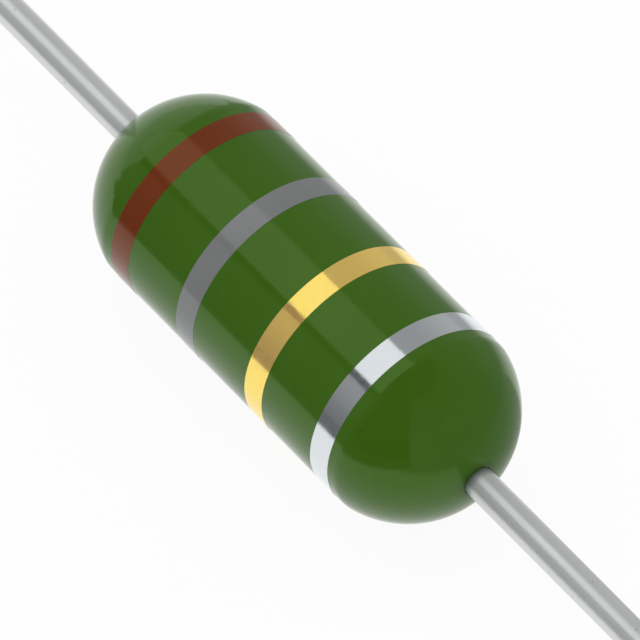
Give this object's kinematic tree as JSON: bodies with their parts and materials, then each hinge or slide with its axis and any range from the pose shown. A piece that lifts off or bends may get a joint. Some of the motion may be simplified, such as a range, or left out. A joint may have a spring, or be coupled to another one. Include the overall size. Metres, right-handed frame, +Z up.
{
  "type": "axial inductor",
  "caption": "Axial wire-wound inductor with a domed green epoxy body, colour bands and straight tinned leads.",
  "frame": {"origin": "centre of the body, on the axis that the leads share", "axes": "+X along the leads towards the silver band's end, +Z up"},
  "size_m": [0.06, 0.004, 0.004],
  "materials": {
    "epoxy_green": "gloss",
    "ink_red": "gloss",
    "ink_grey": "gloss",
    "ink_gold": "gloss",
    "ink_silver": "gloss",
    "tinned_copper": "satin",
    "ferrite": "matte",
    "enamelled_copper": "gloss",
    "cement": "satin",
    "solder": "satin"
  },
  "bodies": {
    "root": {"epoxy_coat": "epoxy_green", "band_red": "ink_red", "band_grey": "ink_grey", "band_gold": "ink_gold", "band_silver": "ink_silver", "lead_a": "tinned_copper", "lead_b": "tinned_copper", "ferrite_core": "ferrite", "winding": "enamelled_copper", "lead_cement_a": "cement", "lead_cement_b": "cement", "solder_joint_a": "solder", "solder_joint_b": "solder"}
  },
  "joints": []
}
